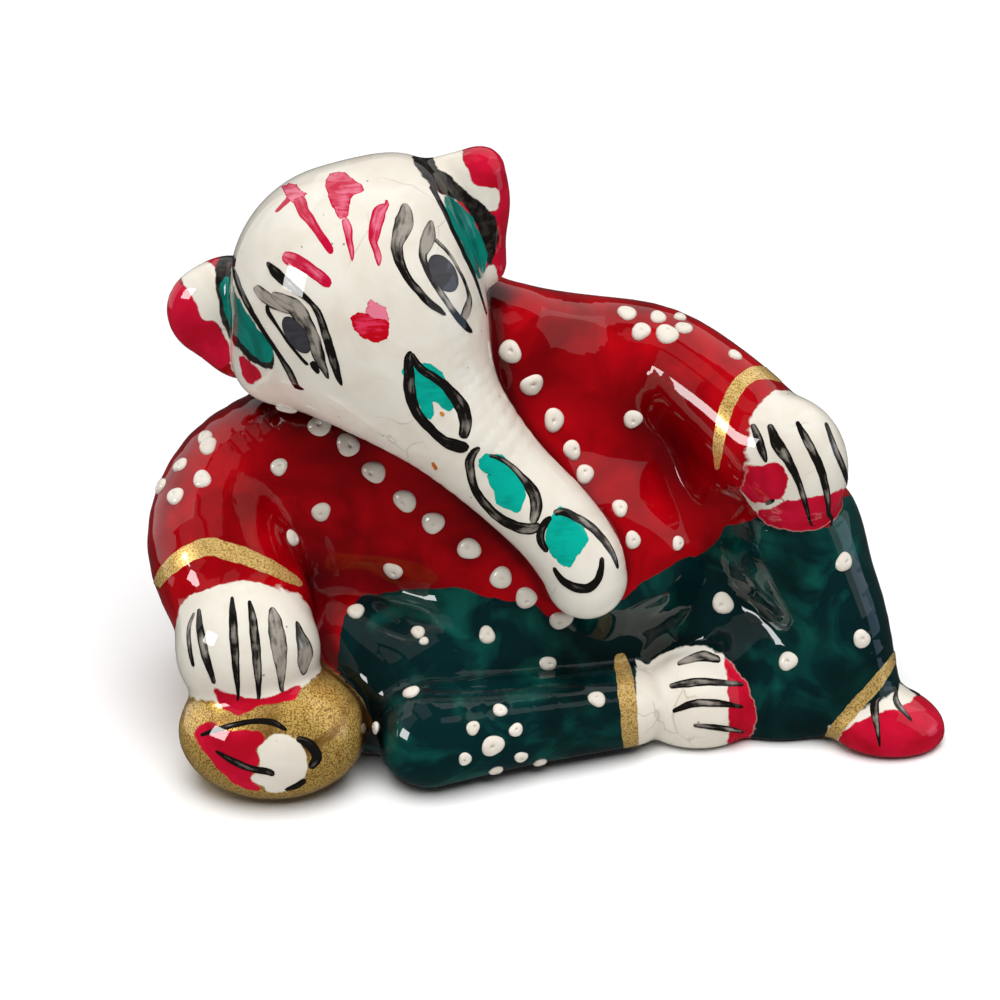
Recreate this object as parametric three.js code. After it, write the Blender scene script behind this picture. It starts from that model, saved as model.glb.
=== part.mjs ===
// A small reclining Ganesha, cast in one piece and painted: the elephant-headed figure lies on its
// side in a robe, its right arm on a bolster, its left hand on its raised left knee, its right leg
// folded in front of it and its trunk laid down across the belly.
// Millimetres, +Z up. The figure faces -Y and rests on its flat underside at z = 0, with the origin
// at the middle of the outline that it covers.
import * as THREE from 'three';

// The figure's overall length, from the right elbow to the toes of the left foot.
const FIGURE_LENGTH = 76;
// The rounding of the rim where the walls of the casting meet its flat underside.
const RIM_ROUND = 1;
// How many facets the skin has along the whole length.
const FACETS_ALONG = 42;

// The pose and the proportions are shares of the length: every place, half-width, radius and
// softness below is written in hundredths of it.
const SHARE = FIGURE_LENGTH / 100;
const DEGREE = Math.PI / 180;

// How softly neighbouring forms run into each other, as the width of the valley between them.
const FLESH = 6.6;
const CLOTH = 4;
const BROW = 6.6;
const ROOT = 2.6;
const CREASE = 1.6;

// Every form is a function of a point that gives the distance to its skin, negative inside.

// An egg has its centre, its half-widths along x, y and z, a lean to the side and a nod backwards.
function egg(centre, halfWidths, lean = 0, nod = 0) {
  const middle = new THREE.Vector3(...centre).multiplyScalar(SHARE);
  const half = new THREE.Vector3(...halfWidths).multiplyScalar(SHARE);
  const upright = new THREE.Matrix4()
    .makeRotationFromEuler(new THREE.Euler(nod * DEGREE, lean * DEGREE, 0))
    .invert();
  const q = new THREE.Vector3();
  return (p) => {
    const reach = q.subVectors(p, middle).applyMatrix4(upright).divide(half).length();
    const slope = q.divide(half).length();
    return reach * (reach - 1) / Math.max(slope, 1e-9);
  };
}

// A value on the smooth curve through b and c, with a and d as the knots on either side of them.
function between(a, b, c, d, t) {
  return b + 0.5 * t * (c - a + t * (2 * a - 5 * b + 4 * c - d + t * (3 * (b - c) + d - a)));
}

// A limb is a round bar along a smooth curve through its stations, each [x, y, z, radius].
function limb(...stations) {
  const steps = 4;
  const knots = stations.map((station) => station.map((value) => value * SHARE));
  const beyond = (near, next) => near.map((value, k) => 2 * value - next[k]);
  knots.unshift(beyond(knots[0], knots[1]));
  knots.push(beyond(knots.at(-1), knots.at(-2)));
  const path = [];
  for (let i = 1; i < knots.length - 2; i += 1) {
    for (let s = 0; s < steps; s += 1) {
      const [a, b, c, d] = knots.slice(i - 1, i + 3);
      path.push(b.map((value, k) => between(a[k], value, c[k], d[k], s / steps)));
    }
  }
  path.push(knots.at(-2));
  const pieces = path.slice(1).map((end, i) => {
    const start = new THREE.Vector3(...path[i]);
    const run = new THREE.Vector3(...end).sub(start);
    return { start, run, square: run.lengthSq(), radius: path[i][3], growth: end[3] - path[i][3] };
  });
  const q = new THREE.Vector3();
  return (p) => {
    let nearest = Infinity;
    for (const piece of pieces) {
      q.subVectors(p, piece.start);
      const along = THREE.MathUtils.clamp(q.dot(piece.run) / piece.square, 0, 1);
      const away = q.addScaledVector(piece.run, -along).length();
      nearest = Math.min(nearest, away - piece.radius - along * piece.growth);
    }
    return nearest;
  };
}

// The lower of two distances, eased over the given width so that the forms run together.
function eased(a, b, width) {
  const overlap = Math.max(width - Math.abs(a - b), 0) / width;
  return Math.min(a, b) - overlap * overlap * width / 4;
}

function joined(softness, ...forms) {
  const width = softness * SHARE;
  return forms.reduce((all, next) => (p) => eased(all(p), next(p), width));
}

// Chest, belly, far flank, back, hips, neck and the near shoulder's side make one soft mass.
const trunkOfBody = joined(
  FLESH,
  egg([-10.2, 8.9, 33.1], [18.5, 13.9, 15.9], -20),
  egg([-0.9, 4.9, 21.2], [23.8, 15.2, 14.6]),
  egg([11, 12.8, 35.1], [15.9, 9.9, 11.9], 25),
  egg([0.4, 15.5, 18.5], [26.5, 11.2, 19.8]),
  egg([9.7, 12.8, 7.9], [31.7, 13.9, 11.9]),
  egg([-18.1, 8.9, 47], [13.9, 9.3, 11.9], -30),
  egg([-28.7, 4.9, 23.8], [13.2, 9.9, 15.9], 15),
);

// The right arm bends down to the bolster. The left arm reaches along the flank to the knee, with
// the sleeve's cloth filling the space under it.
const rightArm = limb(
  [-31.1, 4.9, 35, 7.9],
  [-38.4, 2.2, 30, 8.9],
  [-40.7, -4.4, 25.3, 9],
  [-37.7, -11, 19.7, 8.6],
);
const leftArm = limb(
  [-3.4, 6.2, 48.1, 6.6],
  [5.2, 10.2, 44.4, 6.9],
  [13.6, 8.9, 43.8, 6.7],
  [20.3, 3.6, 41.7, 6.7],
  [26.2, -1.7, 38.4, 6.7],
);
const leftSleeve = egg([21.6, 2.2, 30.5], [4.6, 5.3, 9.3]);

// The right thigh lies across the front. The left knee is drawn up, and cloth hangs inside it.
const lap = egg([-24.8, -5.7, 9.6], [7.9, 7.9, 9.3]);
const rightThigh = limb(
  [6.8, 0.9, 6.1, 9.9],
  [-8.6, -4.4, 9.8, 9.3],
  [-18.4, -9.7, 7.7, 8.2],
  [-22.9, -7, 1.4, 6.1],
);
const leftThigh = limb([12.2, 8.9, 8.7, 11.9], [24.8, 6.2, 16.4, 9.3], [30.9, 0.9, 24, 7.4]);
const leftShin = limb([30.8, -1.7, 25.6, 7.4], [35.3, -4.4, 15.5, 6.9], [38.1, -7, 6.7, 6.1]);
const hangingCloth = egg([29.3, -0.4, 4.6], [13.2, 11.9, 11.2]);

const clothed = joined(
  CLOTH,
  trunkOfBody,
  rightArm,
  leftArm,
  leftSleeve,
  lap,
  rightThigh,
  leftThigh,
  leftShin,
  hangingCloth,
);

// The lower right leg is folded back along the front, with its foot's sole to the left leg.
const rightShin = limb([-14.7, -18.1, 6.3, 6.7], [-3.6, -14.9, 6, 5.7], [10.2, -11, 5.4, 5]);
const rightFoot = egg([18.8, -8.3, 4.1], [7.7, 6.1, 6.6]);
const leftFoot = egg([42.4, -10.3, 2.6], [7.7, 5.6, 4.6], 12);
const rightHand = egg([-36.7, -14.3, 16.2], [8.6, 7.1, 8.2]);
const leftHand = egg([29.7, -4.4, 36.8], [6.5, 5.7, 8.7], -15);

// The bolster runs back under the arm from its round front end.
const bolster = joined(
  ROOT,
  egg([-33.9, -17.9, 8.6], [11.5, 9.8, 10.1]),
  limb([-35.3, -14.9, 8.3, 8.6], [-32.7, 6.2, 8.3, 8.7]),
);

// The skull narrows smoothly into the trunk, which lies down over the chest and belly.
const head = joined(
  BROW,
  egg([-23.6, -0.4, 58.2], [14.6, 13, 15.8], 0, 12),
  limb(
    [-22, -2, 57.2, 11.6],
    [-19.2, -3.6, 53, 10.7],
    [-15.9, -5.3, 48.4, 9],
    [-11.4, -7, 43.5, 7],
    [-5.6, -8.3, 37.3, 5.7],
    [0.2, -10.2, 31.9, 5.4],
    [3.4, -11.5, 27.7, 5.3],
    [4.4, -12, 24.9, 5],
  ),
);
const rightEar = joined(
  ROOT,
  egg([-40.5, 3.6, 53.2], [6, 3.2, 6.1]),
  egg([-37.5, 3.6, 48], [4, 3.3, 3.6]),
  egg([-38.4, 4.9, 55.5], [4.2, 3.2, 4.2]),
);
const leftEar = joined(
  ROOT,
  limb([-8.1, 3.6, 72.1, 2.4], [-8.5, 3.6, 66, 3], [-8.5, 3.6, 59.9, 3.2]),
  egg([-11.3, 3.6, 68], [5.8, 3, 5.8]),
);

const wholeFigure = joined(
  CREASE,
  joined(ROOT, clothed, rightEar, leftEar),
  rightShin,
  rightFoot,
  leftFoot,
  bolster,
  rightHand,
  leftHand,
  head,
);

// The casting is cut flat underneath, with its rim rounded.
const casting = (p) => -eased(-wholeFigure(p), p.z, RIM_ROUND);

// Where a valley is narrower than a cell, the skin would touch itself there. The empty corner
// nearest to the skin is filled in each such cell, until the solid corners of every cell hang
// together along its edges, and the empty ones too.
function fillPinches(distance, strides, cell) {
  const bits = [0, 1, 2, 3, 4, 5, 6, 7];
  const offsets = bits.map((bit) => strides.reduce((sum, stride, k) => sum + (bit >> k & 1) * stride, 0));
  const together = (solid, side) => {
    const members = bits.filter((bit) => solid[bit] === side);
    const reached = new Set(members.slice(0, 1));
    for (const bit of reached) {
      const next = [bit ^ 1, bit ^ 2, bit ^ 4].filter((other) => solid[other] === side);
      next.forEach((other) => reached.add(other));
    }
    return reached.size === members.length;
  };
  let filled = true;
  while (filled) {
    filled = false;
    for (let index = 0; index + offsets[7] < distance.length; index += 1) {
      const corners = offsets.map((offset) => index + offset);
      const solid = corners.map((corner) => distance[corner] < 0);
      if (!together(solid, true) || !together(solid, false)) {
        const empty = corners.filter((corner) => distance[corner] >= 0);
        const nearest = empty.reduce((a, b) => (distance[a] < distance[b] ? a : b));
        distance[nearest] = -cell / 20;
        filled = true;
      }
    }
  }
}

// The skin of a form inside a box, as a closed surface. The box is cut into cells: a cell that the
// skin passes through gets one point on the skin, and the four cells round every cell edge that
// the skin crosses are joined by a quad, split along its shorter diagonal.
function skinOf(form, low, high, cell) {
  const counts = ['x', 'y', 'z'].map((axis) => Math.ceil((high[axis] - low[axis]) / cell) + 1);
  const strides = [1, counts[0], counts[0] * counts[1]];
  const total = counts[0] * counts[1] * counts[2];
  const corner = (index) => {
    const steps = [
      index % counts[0],
      Math.floor(index / strides[1]) % counts[1],
      Math.floor(index / strides[2]),
    ];
    return new THREE.Vector3(...steps).multiplyScalar(cell).add(low);
  };
  const distance = Float64Array.from({ length: total }, (_, index) => form(corner(index)));
  fillPinches(distance, strides, cell);

  // A point near the skin moves onto it, but only a little, which keeps the valleys even.
  const ontoSkin = (point) => {
    const nudge = cell / 30;
    const slope = ['x', 'y', 'z'].map((axis) => {
      const ahead = point.clone();
      const behind = point.clone();
      ahead[axis] += nudge;
      behind[axis] -= nudge;
      return (form(ahead) - form(behind)) / (2 * nudge);
    });
    const outward = new THREE.Vector3(...slope);
    const move = THREE.MathUtils.clamp(-form(point) / outward.length(), -cell / 10, cell / 10);
    return point.addScaledVector(outward.normalize(), move);
  };

  const crossed = (a, b) => distance[a] < 0 !== distance[b] < 0;
  const points = new Map();
  const pointOf = (index) => {
    if (points.has(index)) {
      return points.get(index);
    }
    const sum = new THREE.Vector3();
    let crossings = 0;
    for (let axis = 0; axis < 3; axis += 1) {
      const [u, v] = [strides[(axis + 1) % 3], strides[(axis + 2) % 3]];
      for (const a of [index, index + u, index + v, index + u + v]) {
        const b = a + strides[axis];
        if (crossed(a, b)) {
          const share = distance[a] / (distance[a] - distance[b]);
          sum.add(corner(a).lerp(corner(b), share));
          crossings += 1;
        }
      }
    }
    const point = { place: ontoSkin(sum.divideScalar(crossings)), number: points.size };
    points.set(index, point);
    return point;
  };

  const triangles = [];
  for (let a = 0; a < total; a += 1) {
    for (let axis = 0; axis < 3; axis += 1) {
      const b = a + strides[axis];
      if (b < total && crossed(a, b)) {
        const [u, v] = [strides[(axis + 1) % 3], strides[(axis + 2) % 3]];
        const ring = [a, a - u, a - u - v, a - v].map(pointOf);
        if (distance[a] > 0) {
          ring.reverse();
        }
        const [p, q, r, s] = ring;
        const splitFirst = p.place.distanceTo(r.place) < q.place.distanceTo(s.place);
        const pair = splitFirst ? [[p, q, r], [p, r, s]] : [[q, r, s], [q, s, p]];
        pair.flat().forEach((point) => triangles.push(point.number));
      }
    }
  }
  const places = [...points.values()].flatMap((point) => point.place.toArray());
  const geometry = new THREE.BufferGeometry();
  geometry.setAttribute('position', new THREE.Float32BufferAttribute(places, 3));
  geometry.setIndex(triangles);
  geometry.computeVertexNormals();
  return geometry;
}

// The box round the figure. Its floor lies one and a half cells under the underside, so that the
// underside passes through the middle of a layer of cells and comes out exactly flat.
const cell = FIGURE_LENGTH / FACETS_ALONG;
const boxLow = new THREE.Vector3(-56, -36, 0).multiplyScalar(SHARE).setZ(-1.5 * cell);
const boxHigh = new THREE.Vector3(56, 34, 80).multiplyScalar(SHARE);

function castFigure() {
  const geometry = skinOf(casting, boxLow, boxHigh, cell);
  geometry.computeBoundingBox();
  const middle = geometry.boundingBox.getCenter(new THREE.Vector3());
  geometry.translate(-middle.x, -middle.y, 0);
  const glossyPaint = new THREE.MeshStandardMaterial({
    color: 0xa8101c,
    roughness: 0.2,
    metalness: 0,
  });
  const figure = new THREE.Mesh(geometry, glossyPaint);
  figure.name = 'ganesha_figure';
  return figure;
}

const part = new THREE.Group();
part.add(castFigure());
export default part;
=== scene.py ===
# A small reclining Ganesha, cast in resin in one piece, painted by hand in enamels, dotted with
# white paste and coated with clear lacquer. Lengths are millimetres until a mesh is made from
# them, and pixels are those of the photograph, which is 1000 by 1000.
import itertools
import math

import bpy
import numpy as np
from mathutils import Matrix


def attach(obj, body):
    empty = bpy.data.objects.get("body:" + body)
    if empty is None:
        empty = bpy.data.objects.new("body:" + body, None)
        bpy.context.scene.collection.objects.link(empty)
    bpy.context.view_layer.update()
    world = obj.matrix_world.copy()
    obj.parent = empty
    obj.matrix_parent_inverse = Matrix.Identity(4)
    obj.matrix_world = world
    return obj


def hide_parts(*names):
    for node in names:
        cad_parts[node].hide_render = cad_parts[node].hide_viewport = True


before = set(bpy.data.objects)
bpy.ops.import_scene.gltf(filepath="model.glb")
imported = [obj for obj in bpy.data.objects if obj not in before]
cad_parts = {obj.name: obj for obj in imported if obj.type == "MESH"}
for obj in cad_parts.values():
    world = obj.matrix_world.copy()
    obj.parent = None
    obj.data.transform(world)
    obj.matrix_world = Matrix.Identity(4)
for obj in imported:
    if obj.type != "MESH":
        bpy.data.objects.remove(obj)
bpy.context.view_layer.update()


# The casting
# Mineral-filled resin poured into a mould in one piece: head, robe, limbs and bolster. Every form
# is a function of points that gives their distance to its skin, negative inside, as in the solid.

figure_length = 76.0
share = figure_length / 100
flesh, cloth, brow, root, crease = 6.6, 4, 6.6, 2.6, 1.6
rim_round = 1.0


def egg(centre, half_widths, lean=0, nod=0):
    """Reach is how far out a point is in half-widths, and slope how fast reach grows there: the
    distance is reach times (reach - 1) over slope. Nod turns the egg about x, lean about y."""
    nod, lean = np.radians([nod, lean])
    nodding = np.array([[1, 0, 0], [0, np.cos(nod), -np.sin(nod)], [0, np.sin(nod), np.cos(nod)]])
    leaning = np.array([[np.cos(lean), 0, np.sin(lean)], [0, 1, 0], [-np.sin(lean), 0, np.cos(lean)]])
    upright = nodding @ leaning
    middle, half = np.array(centre) * share, np.array(half_widths) * share

    def distance(points):
        q = (points - middle) @ upright / half
        reach = np.sqrt((q * q).sum(1))
        slope = np.sqrt(((q / half) ** 2).sum(1))
        return reach * (reach - 1) / np.maximum(slope, 1e-9)

    return distance


def smooth_path(stations, steps, closed=False):
    """The curve that passes through every station with the slope of its two neighbours there
    (Catmull-Rom), at the given number of steps in each span."""
    s = np.array(stations, float)
    if closed:
        knots = np.vstack([s[-1:], s, s[:2]])
    else:
        knots = np.vstack([2 * s[:1] - s[1:2], s, 2 * s[-1:] - s[-2:-1]])
    a, b, c, d = knots[:-3, None], knots[1:-2, None], knots[2:-1, None], knots[3:, None]
    t = (np.arange(steps) / steps)[None, :, None]
    spans = b + 0.5 * t * (c - a + t * (2 * a - 5 * b + 4 * c - d + t * (3 * (b - c) + d - a)))
    path = spans.reshape(-1, s.shape[1])
    return path if closed else np.vstack([path, s[-1:]])


def limb(*stations):
    """A round bar along a smooth path through stations of x, y, z and radius: the distance is that
    to the nearest point of the path, less the radius there."""
    path = smooth_path(stations, 4) * share

    def distance(points):
        nearest = np.full(len(points), np.inf)
        for start, end in zip(path[:-1], path[1:]):
            run = end - start
            away = points - start[:3]
            along = np.clip(away @ run[:3] / (run[:3] @ run[:3]), 0, 1)
            away = away - along[:, None] * run[:3]
            gap = np.sqrt((away * away).sum(1)) - start[3] - along * run[3]
            nearest = np.minimum(nearest, gap)
        return nearest

    return distance


def eased(a, b, width):
    """The lower of two distances, less a parabola where they differ by less than the width."""
    overlap = np.maximum(width - np.abs(a - b), 0) / width
    return np.minimum(a, b) - overlap**2 * width / 4


def joined(softness, *forms):
    """Forms that run into each other, one after the other, with valleys as wide as softness."""

    def distance(points):
        whole = forms[0](points)
        for form in forms[1:]:
            whole = eased(whole, form(points), softness * share)
        return whole

    return distance


trunk_of_body = joined(
    flesh,
    egg([-10.2, 8.9, 33.1], [18.5, 13.9, 15.9], -20),
    egg([-0.9, 4.9, 21.2], [23.8, 15.2, 14.6]),
    egg([11, 12.8, 35.1], [15.9, 9.9, 11.9], 25),
    egg([0.4, 15.5, 18.5], [26.5, 11.2, 19.8]),
    egg([9.7, 12.8, 7.9], [31.7, 13.9, 11.9]),
    egg([-18.1, 8.9, 47], [13.9, 9.3, 11.9], -30),
    egg([-28.7, 4.9, 23.8], [13.2, 9.9, 15.9], 15),
)
right_arm = limb(
    [-31.1, 4.9, 35, 7.9], [-38.4, 2.2, 30, 8.9], [-40.7, -4.4, 25.3, 9], [-37.7, -11, 19.7, 8.6],
)
left_arm = limb(
    [-3.4, 6.2, 48.1, 6.6], [5.2, 10.2, 44.4, 6.9], [13.6, 8.9, 43.8, 6.7], [20.3, 3.6, 41.7, 6.7],
    [26.2, -1.7, 38.4, 6.7],
)
left_sleeve = egg([21.6, 2.2, 30.5], [4.6, 5.3, 9.3])
lap = egg([-24.8, -5.7, 9.6], [7.9, 7.9, 9.3])
right_thigh = limb(
    [6.8, 0.9, 6.1, 9.9], [-8.6, -4.4, 9.8, 9.3], [-18.4, -9.7, 7.7, 8.2], [-22.9, -7, 1.4, 6.1],
)
left_thigh = limb([12.2, 8.9, 8.7, 11.9], [24.8, 6.2, 16.4, 9.3], [30.9, 0.9, 24, 7.4])
left_shin = limb([30.8, -1.7, 25.6, 7.4], [35.3, -4.4, 15.5, 6.9], [38.1, -7, 6.7, 6.1])
hanging_cloth = egg([29.3, -0.4, 4.6], [13.2, 11.9, 11.2])
clothed = joined(
    cloth,
    trunk_of_body, right_arm, left_arm, left_sleeve, lap, right_thigh, left_thigh, left_shin, hanging_cloth,
)
right_shin = limb([-14.7, -18.1, 6.3, 6.7], [-3.6, -14.9, 6, 5.7], [10.2, -11, 5.4, 5])
right_foot = egg([18.8, -8.3, 4.1], [7.7, 6.1, 6.6])
left_foot = egg([42.4, -10.3, 2.6], [7.7, 5.6, 4.6], 12)
right_hand = egg([-36.7, -16.3, 17.3], [8.8, 7.1, 9])
left_hand = egg([29.7, -4.4, 36.8], [6.5, 5.7, 8.7], -15)
bolster = joined(
    root,
    egg([-33.9, -19.1, 7.4], [11.5, 8.6, 8.4]),
    limb([-35.3, -14.9, 8, 8.1], [-32.7, 6.2, 8.3, 8.7]),
)
skull = egg([-23.6, -0.4, 58.2], [14.6, 13, 15.8], 0, 12)
trunk = limb(
    [-22, -2, 57.2, 11.6], [-19.2, -3.6, 53, 10.7], [-15.9, -5.3, 48.4, 9], [-11.4, -7, 43.5, 7],
    [-5.6, -8.3, 37.3, 5.7], [0.2, -10.2, 31.9, 5.4], [3.4, -11.5, 27.7, 5.3], [4.4, -12, 24.9, 5],
)
# Two small fillings close the nook beside the left ear and round out the right cheek.
ear_nook = egg([-17.4, 1.5, 68.6], [4.6, 5, 4.6])
cheek_filling = egg([-33.9, -0.6, 48.2], [3.8, 4, 3.8])
head = joined(brow, skull, ear_nook, cheek_filling, trunk)
right_ear = joined(
    root,
    egg([-40.5, 3.6, 53.2], [6, 3.2, 6.1]),
    egg([-37.5, 3.6, 48], [4, 3.3, 3.6]),
    egg([-38.4, 4.9, 55.5], [4.2, 3.2, 4.2]),
)
left_ear = joined(
    root,
    limb([-8.1, 3.6, 72.1, 2.4], [-8.5, 3.6, 66, 3], [-8.5, 3.6, 59.9, 3.2]),
    egg([-11.3, 3.6, 68], [5.8, 3, 5.8]),
)
whole_figure = joined(
    crease,
    joined(root, clothed, right_ear, left_ear),
    right_shin, right_foot, left_foot, bolster, right_hand, left_hand, head,
)


def casting(points):
    """The whole figure, cut flat at z = 0 with its rim rounded."""
    return -eased(-whole_figure(points), points[:, 2], rim_round)


def outward(form, points):
    """How the distance grows along x, y and z: the difference over a short nudge each way."""
    nudge = 0.02
    steps = nudge * np.eye(3)
    return np.stack([form(points + step) - form(points - step) for step in steps], 1) / (2 * nudge)


def settled(points, reach=1.0):
    """Points moved onto the casting's skin along its slope, by no more than the reach."""
    for _ in range(4):
        slope = outward(casting, points)
        size = np.maximum(np.linalg.norm(slope, axis=1), 0.2)
        move = np.clip(casting(points) / size, -reach, reach)
        points = points - (move / size)[:, None] * slope
    return points


def distances_near_skin(form, low, counts, cell):
    """Distances at the corners of a grid of cells. A block of corners far from the skin takes the
    distance at its middle, and only the others are worked out corner by corner."""
    block = 4
    blocks = counts // block
    steps = np.indices(blocks).reshape(3, -1).T * block + (block - 1) / 2
    coarse = form(low + steps * cell).reshape(blocks)
    distance = coarse.repeat(block, 0).repeat(block, 1).repeat(block, 2)
    well_clear = 1.3 * block * cell
    near = np.argwhere(np.abs(distance) < well_clear)
    distance[tuple(near.T)] = form(low + near * cell)
    return distance


def skin_of(form, low, high, cell):
    """Surface nets: each cell that the skin passes through gets one point, the mean of the places
    where the skin crosses its edges, and the four cells round each crossed edge share a face."""
    counts = 4 * np.ceil((high - low) / cell / 4).astype(int)
    distance = distances_near_skin(form, low, counts, cell)
    solid = distance < 0
    shifts = list(itertools.product((0, 1), repeat=3))
    corners = [solid[tuple(slice(s, n - 1 + s) for s, n in zip(shift, counts))] for shift in shifts]
    mixed = np.any(corners, 0) & ~np.all(corners, 0)
    cells = np.argwhere(mixed)
    number = np.full(mixed.shape, -1)
    number[mixed] = np.arange(len(cells))
    unit = np.eye(3, dtype=int)
    total, crossings = np.zeros((len(cells), 3)), np.zeros(len(cells))
    faces = []
    for axis in range(3):
        u, v = unit[(axis + 1) % 3], unit[(axis + 2) % 3]
        for step in (0 * u, u, v, u + v):
            a, b = cells + step, cells + step + unit[axis]
            at_a, at_b = distance[tuple(a.T)], distance[tuple(b.T)]
            crossed = (at_a < 0) != (at_b < 0)
            part = np.where(crossed, at_a, 0) / np.where(crossed, at_a - at_b, 1)
            total += crossed[:, None] * (a + part[:, None] * unit[axis])
            crossings += crossed
        ahead = np.roll(solid, -1, axis)
        a = np.argwhere(solid != ahead)
        ring = np.stack([number[tuple((a - step).T)] for step in (0 * u, u, u + v, v)], 1)
        leaving = solid[tuple(a.T)]
        faces.append(np.where(leaving[:, None], ring, ring[:, ::-1]))
    return low + cell * total / crossings[:, None], np.vstack(faces)


skin_cell = 0.42
box_low = np.array([-56, -36, 0]) * share - [0, 0, 1.5 * skin_cell]
box_high = np.array([56, 34, 80]) * share
skin, skin_faces = skin_of(casting, box_low, box_high, skin_cell)
skin_slope = outward(casting, skin)
skin_slope /= np.linalg.norm(skin_slope, axis=1)[:, None]
skin -= np.clip(casting(skin), -skin_cell / 8, skin_cell / 8)[:, None] * skin_slope

# The solid's box is centred over the origin: the same shift seats the finished meshes.
seat = np.array([0.045, 0.016, 0])


def piece_of(name, points, faces, normals, material):
    """A mesh in metres, seated where the solid is, with the casting's own slopes as its normals."""
    mesh = bpy.data.meshes.new(name)
    mesh.from_pydata(((points + seat) / 1000).tolist(), [], faces)
    mesh.shade_smooth()
    if normals is not None:
        mesh.normals_split_custom_set_from_vertices(normals.tolist())
    mesh.materials.append(material)
    piece = bpy.data.objects.new(name, mesh)
    bpy.context.scene.collection.objects.link(piece)
    return piece


def keep_on_points(mesh, name, values):
    """Stores one number for each point of a mesh, for its material to read."""
    mesh.attributes.new(name, "FLOAT", "POINT").data.foreach_set("value", values.astype(np.float32))


# The view
# The photograph looks down by 30 degrees from about 270 mm away. The paintwork is placed through
# it: a pixel's ray is followed to the skin, so all of it lies on the casting from any side.
camera_rise = math.radians(30)
camera_distance = 271.43
focal_pixels = 2835.0
aim = np.array([-4.624, 2.714, 20.407])
ahead = np.array([0, math.cos(camera_rise), -math.sin(camera_rise)])
upwards = np.array([0, math.sin(camera_rise), math.cos(camera_rise)])
eye = aim - camera_distance * ahead
pixels_per_mm = focal_pixels / camera_distance

camera = bpy.data.objects.new("camera", bpy.data.cameras.new("camera"))
camera.data.sensor_width = 36
camera.data.lens = focal_pixels / 1000 * 36
camera.data.clip_start = 0.01
camera.location = (eye + seat) / 1000
camera.rotation_euler = (math.pi / 2 - camera_rise, 0, 0)
bpy.context.scene.collection.objects.link(camera)
bpy.context.scene.camera = camera


def in_photo(points):
    """Where points fall in the photograph: across and up over depth, times the focal length."""
    away = points - eye
    depth = away @ ahead
    return 500 + focal_pixels * np.stack([away[:, 0], -(away @ upwards)], 1) / depth[:, None]


def touched(pixels, form):
    """Where the rays through the pixels first meet a form, moved on to the casting's skin: a ray
    steps ahead by its distance to the form, and one that misses is taken where it is nearest."""
    across = pixels - 500
    rays = focal_pixels * ahead + across[:, :1] * [1, 0, 0] - across[:, 1:] * upwards
    rays /= np.linalg.norm(rays, axis=1)[:, None]
    clear_of_figure = 50.0
    along = np.full(len(rays), camera_distance - clear_of_figure)
    nearest, best = np.full(len(rays), np.inf), along.copy()
    for _ in range(45):
        gap = form(eye + along[:, None] * rays)
        closer = np.abs(gap) < nearest
        nearest, best = np.where(closer, np.abs(gap), nearest), np.where(closer, along, best)
        along += 0.9 * gap
    return settled(eye + best[:, None] * rays)


# The paint of the casting
# Enamel brushed on by hand under clear lacquer: crimson robe, green dhoti, cream skin, gold bolster,
# scarlet finger tips and toes, scarlet, black and teal ears. Each colour covers the points whose
# signed distance to its edge, kept on the mesh in millimetres, is negative.


def linear(hex_colour):
    """An sRGB hex colour turned to linear light, with an alpha of 1."""
    parts = np.array([int(hex_colour[i : i + 2], 16) / 255 for i in (1, 3, 5)])
    light = np.where(parts <= 0.04045, parts / 12.92, ((parts + 0.055) / 1.055) ** 2.4)
    return (*light, 1.0)


def add(tree, kind, inputs=(), **settings):
    """Adds a node: settings are its properties, and an input is linked where it is a socket."""
    node = tree.nodes.new(kind)
    for name, value in settings.items():
        setattr(node, name, value)
    for name, value in dict(inputs).items():
        if isinstance(value, bpy.types.NodeSocket):
            tree.links.new(value, node.inputs[name])
        else:
            node.inputs[name].default_value = value
    return node


def clouds(tree, size, detail=3, distortion=0.0):
    """A cloudy pattern on places fixed to the piece, with features of about size millimetres."""
    place = add(tree, "ShaderNodeTexCoord").outputs["Object"]
    settings = {"Vector": place, "Scale": 1000 / size, "Detail": detail, "Distortion": distortion}
    return add(tree, "ShaderNodeTexNoise", settings).outputs[0]


def brushed(tree, below, above, pattern, low, high, most=1.0):
    """Paint laid over paint: none of it where the pattern is at low, the most where it is at high,
    and smoothly between. A paint is a hex colour, a linear colour or a socket."""
    settings = {"Value": pattern, "From Min": low, "From Max": high, "To Max": most}
    cover = add(tree, "ShaderNodeMapRange", settings, interpolation_type="SMOOTHSTEP").outputs[0]
    below, above = [linear(paint) if isinstance(paint, str) else paint for paint in (below, above)]
    settings = {"Factor": cover, 6: below, 7: above}
    return add(tree, "ShaderNodeMix", settings, data_type="RGBA").outputs[2]


def lacquered(name):
    """A new material under clear lacquer: a mirror-smooth coat of IOR 1.5 with slow waves from the
    brush. The paint below touches it, so it has no reflection of its own."""
    material = bpy.data.materials.new(name)
    material.use_nodes = True
    tree = material.node_tree
    shader = tree.nodes["Principled BSDF"]
    settings = {"Roughness": 0.35, "IOR": 1.5, "Specular IOR Level": 0.0}
    settings |= {"Coat Weight": 1.0, "Coat Roughness": 0.02, "Coat IOR": 1.5}
    for socket, value in settings.items():
        shader.inputs[socket].default_value = value
    waves = {"Height": clouds(tree, 3.5, 1), "Strength": 0.5, "Distance": 0.00004}
    tree.links.new(add(tree, "ShaderNodeBump", waves).outputs[0], shader.inputs["Coat Normal"])
    return material, tree, shader


def over_line(pixels, line):
    """How far pixels lie above a line that runs from left to right, in millimetres."""
    path = smooth_path(line, 6)
    return (np.interp(pixels[:, 0], path[:, 0], path[:, 1]) - pixels[:, 1]) / pixels_per_mm


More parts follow.
